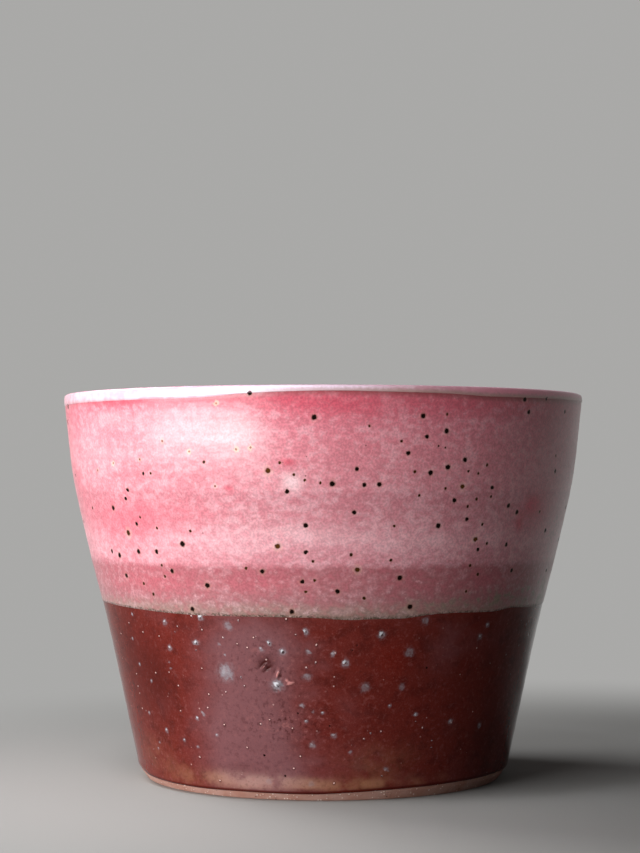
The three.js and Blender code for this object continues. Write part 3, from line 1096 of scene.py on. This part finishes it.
# The pale coat inside and over the lip
linerLook = {
    "base": paint(222, 166, 180),
    "pale": paint(240, 206, 216),
    "deep": paint(204, 134, 150),
    # milky: a painted highlight and reflection on the front of the lip
    "milky": paint(252, 228, 248),
    "lipDeep": paint(250, 150, 174),
    "crest": paint(238, 146, 184),
    # grey at the lip's lower edge: painted shade under its roll
    "edge": paint(172, 136, 126),
    "speck": pinkLook["speck"],
    "roughness": 0.3,
}


def makeLinerMaterial(look):
    made, tree, principled = newMaterial("palePinkGlaze", {"IOR": 1.52})
    place = placeIn(tree)
    curds = useGroup(curdleGroup, place)
    cloud = reading(tree, "cloud")
    frayed = plus(reading(tree, "belowLip"), times(noise(place, 0.8, 3.0), 0.9))
    spots = useGroup(spotGroup, place, ragged=0.75)
    specks = useGroup(pitGroup, place, cell=7.0, share=0.45, width=0.085)
    colour = painted(look["base"], [
        (curds["pale"], 0.6, look["pale"]),
        (curds["deep"], 0.5, look["deep"]),
        (between(cloud, 0.0, 1.0), 1.0, look["lipDeep"]),
        # milky: a painted highlight and reflection on the front of the lip
        (between(cloud, 0.0, -1.0), 1.0, look["milky"]),
        (between(levelOf(place), (bowlTop - 0.5) * mm, (bowlTop - 0.15) * mm), 0.5, look["crest"]),
        # painted shade along the lip's lower edge, under its roll
        (times(between(frayed, -0.85, 0.3), reading(tree, "lipEdgeShade")), 0.85, look["edge"]),
        (spots["core"], 0.95, look["speck"]),
        (specks["pit"], 0.9, look["speck"]),
    ])
    rough = plus(times(curds["grain"], 0.06), look["roughness"])
    darkIron(principled, spots["core"], weight=0.4, roughness=0.3)
    finishMaterial(principled, colour, rough, noise(place, 1.5, 3.0, 0.6), lift=0.07)
    return made


# The glossy iron-red coat below
brownLook = {
    "base": paint(101, 35, 28),
    "red": paint(112, 30, 19),
    "dusky": paint(120, 66, 66),
    # painted reflection: a pale mauve sheen
    "mauveReflection": paint(115, 74, 77),
    "dark": paint(58, 17, 14),
    "ochre": paint(148, 101, 75),
    "ash": paint(164, 127, 119),
    # painted shade along the wiped lower edge, under the glaze's roll
    "edge": paint(74, 16, 10),
    "veil": paint(135, 128, 134),
    # painted highlight in the milky spots
    "paintedHighlight": paint(200, 200, 206),
    # painted glints
    "glint": paint(236, 196, 190),
    # painted highlight on the finger wrinkles
    "ridgeHighlight": paint(190, 128, 124),
    "bloom": paint(148, 92, 90),
    "pit": paint(26, 7, 5),
    "roughness": 0.1,
}


def makeBrownMaterial(look):
    made, tree, principled = newMaterial("redBrownGlaze", {"IOR": 1.17})
    place = placeIn(tree)
    wide = stretched(place, 1.3, 1.0)
    broken = noise(wide, 3.4, 3.0, 0.6)
    slow = noise(place, 16.0)
    fine = noise(place, 0.45, 2.0, 0.7)
    ripple = times(minus(noise(wide, 4.0, 3.0), 0.5), 0.8)
    cloud = plus(reading(tree, "cloud"), times(ripple, between(slow, 0.3, 0.7, 0.3, 1.0)))
    ochre = times(reading(tree, "ochre"), between(noise(wide, 3.2, 3.0), 0.28, 0.6, 0.35))
    mottle = noise(place, 1.2, 3.0, 0.6)
    uneven = plus(times(reading(tree, "rough"), 0.55), 0.2)
    # painted shade in the finger hollows and painted highlight on the wrinkles between them
    fingerShadeAndHighlight = plus(reading(tree, "finger"), times(minus(fine, 0.5), 0.16))
    colour = painted(look["base"], [
        (between(broken, 0.52, 0.34), 0.4, look["dark"]),
        (between(slow, 0.5, 0.7), 0.25, look["dusky"]),
        (between(cloud, 0.0, 1.0), 1.0, look["red"]),
        # painted reflection: a pale mauve sheen
        (between(cloud, 0.0, -1.0), 1.0, look["mauveReflection"]),
        (between(ochre, 0.0, 1.6), 0.85, blend(between(cloud, 0.1, -1.3), look["ochre"], look["ash"])),
        (between(fine, 0.5, 0.72), 0.3, look["dusky"]),
        (between(fine, 0.5, 0.3), 0.15, look["dark"]),
        (between(mottle, 0.47, 0.34), uneven, look["dark"]),
        (between(mottle, 0.55, 0.7), uneven, look["bloom"]),
        (between(reading(tree, "shade"), 0.0, 1.0), 1.0, look["dark"]),
        # painted shade in the finger hollows, then painted highlight on the wrinkles
        (between(fingerShadeAndHighlight, -0.06, -0.3), 0.85, look["dark"]),
        (between(fingerShadeAndHighlight, 0.07, 0.26), 0.8, look["ridgeHighlight"]),
        # painted shade along the wiped lower edge, under the glaze's roll
        (between(reading(tree, "aboveFoot"), 1.0, 0.5), 0.85, look["edge"]),
    ])

    crumbs = noise(place, 0.9, 1.0)
    spots = useGroup(spotGroup, place, ragged=1.15)
    bright = larger(spots["kind"], 0.0)
    glint = between(bright, 0.9, 0.98)
    outer = times(spots["halo"], between(crumbs, 0.3, 0.65, 0.05, 0.3))
    inner = times(spots["rim"], between(crumbs, 0.32, 0.62, 0.5, 0.95))
    milky = larger(outer, times(inner, spots["veil"]))
    opened = times(between(bright, 0.55, 0.8), minus(1.0, glint))
    pitted = times(spots["core"], larger(times(spots["kind"], -1.0), 0.0))
    holes = larger(times(times(spots["hole"], opened), 0.8), pitted)
    # painted glints: tiny highlights scattered over the coat
    glints = useGroup(pitGroup, place, cell=2.1, share=0.5, width=0.1)
    pits = useGroup(pitGroup, place, cell=6.5, share=0.5, width=0.05)
    colour = painted(colour, [
        # milky spots; around painted glints the ring is dark, painted shade beside them
        (milky, 1.0, blend(glint, look["veil"], look["dark"])),
        # painted highlight up to the left in each bright spot, and painted glints
        (times(spots["heartHighlight"], between(bright, 0.3, 0.8)), 0.95, blend(glint, look["paintedHighlight"], look["glint"])),
        (holes, 1.0, look["pit"]),
        (glints["pit"], between(glints["draw"], 0.3, 1.0, 0.06, 0.55), look["glint"]),
        (pits["pit"], 0.85, look["pit"]),
    ])
    rough = plus(times(milky, 0.3), look["roughness"])
    raisedParts = plus(times(noise(place, 2.2, 3.0), 0.35), times(glints["rim"], 0.4))
    relief = minus(minus(raisedParts, times(pits["rim"], 0.9)), times(holes, 0.9))
    finishMaterial(principled, colour, rough, relief, lift=0.1)
    return made


# Bare stoneware with grog
clayLook = {
    "base": paint(184, 146, 134),
    "warm": paint(162, 111, 94),
    "grog": paint(236, 220, 208),
    "darkGrog": paint(84, 52, 44),
    "roughness": 0.85,
}


def makeClayMaterial(look):
    made, tree, principled = newMaterial("bareClay", {"IOR": 1.45, "Specular IOR Level": 0.3})
    place = placeIn(tree)
    grains = useGroup(pitGroup, place, cell=0.75, share=0.5, width=0.26)
    dark = useGroup(pitGroup, place, cell=1.7, share=0.35, width=0.16)
    colour = painted(look["base"], [
        (between(noise(place, 5.0, 3.0), 0.3, 0.7, 0.1, 0.8), 1.0, look["warm"]),
        (grains["pit"], 0.75, look["grog"]),
        (dark["pit"], 0.75, look["darkGrog"]),
    ])
    raisedParts = plus(times(grains["rim"], 0.5), noise(stretched(place, 3.0, 0.6), 0.6, 4.0, 0.7))
    relief = minus(raisedParts, times(dark["rim"], 0.5))
    rough = plus(times(grains["pit"], -0.2), look["roughness"])
    finishMaterial(principled, colour, rough, relief, lift=0.12)
    return made


finishes = [
    (clayBody, makeClayMaterial(clayLook), "clay_body", "bare_clay"),
    (linerGlaze, makeLinerMaterial(linerLook), "liner_glaze", "pale_pink_glaze"),
    (pinkGlaze, makePinkMaterial("pinkGlaze"), "pink_glaze", "pink_glaze"),
    (lapBead, makePinkMaterial("greyOliveGlaze"), "lap_bead", "grey_olive_glaze"),
    (redBrownGlaze, makeBrownMaterial(brownLook), "red_brown_glaze", "red_brown_glaze"),
]
for piece, material, node, slot in finishes:
    piece.data.materials.clear()
    piece.data.materials.append(material)
    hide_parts(node)
    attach(piece, "root")
print("The glazes and the bare clay have their finish")

# A wide pale floor that fades into an even background of the same paper
studio = {
    "floorWidth": 9.0,
    "paper": (0.36, 0.357, 0.348, 1.0),
    "backdrop": (0.40, 0.397, 0.389, 1.0),
    "fadeMiddle": (0.06, 0, 0),
    "fadeStart": 0.11,       # distance from there, where the backdrop begins to take over
    "fadeEnd": 0.27,
    "fillLight": 0.075,
}


def seenDirectly(tree):      # camera rays, and what shines or shows through
    rays = addNode(tree, "LightPath", {})
    return larger(larger(rays["Is Camera Ray"], rays["Is Glossy Ray"]), rays["Is Transmission Ray"])


def makeFloor():
    bpy.ops.object.select_all(action="DESELECT")
    bpy.ops.mesh.primitive_circle_add(vertices=96, radius=studio["floorWidth"] / 2, fill_type="NGON")
    floor = bpy.context.object
    floor.name = "paperFloor"
    shader = {"Base Color": studio["paper"], "Roughness": 0.9, "Specular IOR Level": 0.2}
    made, tree, principled = newMaterial("paper", shader)
    distance = vectors("DISTANCE", placeIn(tree), studio["fadeMiddle"])["Value"]
    fade = between(distance, studio["fadeStart"], studio["fadeEnd"])
    glow = addNode(tree, "Emission", {"Color": studio["backdrop"], "Strength": 1.0})[0]
    share = times(fade, seenDirectly(tree))
    mixed = addNode(tree, "MixShader", {0: share, 1: principled.outputs[0], 2: glow})[0]
    feed(tree.nodes["Material Output"], {"Surface": mixed})
    floor.data.materials.append(made)


def makeWorld():
    world = bpy.data.worlds.new("studio")
    bpy.context.scene.world = world
    world.use_nodes = True
    tree = world.node_tree
    strength = between(seenDirectly(tree), 0.0, 1.0, studio["fillLight"], 1.0)
    feed(tree.nodes["Background"], {"Color": studio["backdrop"], "Strength": strength})


# Soft boxes: where they stand and what they face in metres, size, power in watts, spread in degrees
softBoxes = {
    "keyBox": ((-0.424, -0.347, 0.128), (0, 0, 0.128), (0.56, 0.24), 4.4, 180),
    "topBox": ((-0.46, 0.27, 0.54), (0, 0, 0), (0.3, 0.3), 3.2, 180),
    "poolBox": ((-0.15, -0.2, 0.6), (-0.1, -0.09, 0), (0.15, 0.15), 0.12, 40),
}


def makeLights():
    for name, (stand, target, size, power, spread) in softBoxes.items():
        bpy.ops.object.light_add(type="AREA", location=stand)
        lamp = bpy.context.object
        lamp.name = name
        lamp.rotation_euler = (Vector(target) - Vector(stand)).to_track_quat("-Z", "Y").to_euler()
        lamp.data.shape = "RECTANGLE"
        lamp.data.size, lamp.data.size_y = size
        lamp.data.energy = power
        lamp.data.spread = math.radians(spread)
        lamp.visible_camera = False


def makeCamera():
    bpy.ops.object.camera_add(location=view["eye"], rotation=(math.radians(90 + view["tiltUp"]), 0, 0))
    camera = bpy.context.object
    camera.data.sensor_width = view["sensor"]
    camera.data.lens = view["focalPixels"] / view["pictureHeight"] * view["sensor"]
    camera.data.clip_start = 0.01
    bpy.context.scene.camera = camera


makeFloor()
makeWorld()
makeLights()
makeCamera()
bpy.context.scene.view_settings.view_transform = "Standard"
print("The floor, the lights and the camera stand")
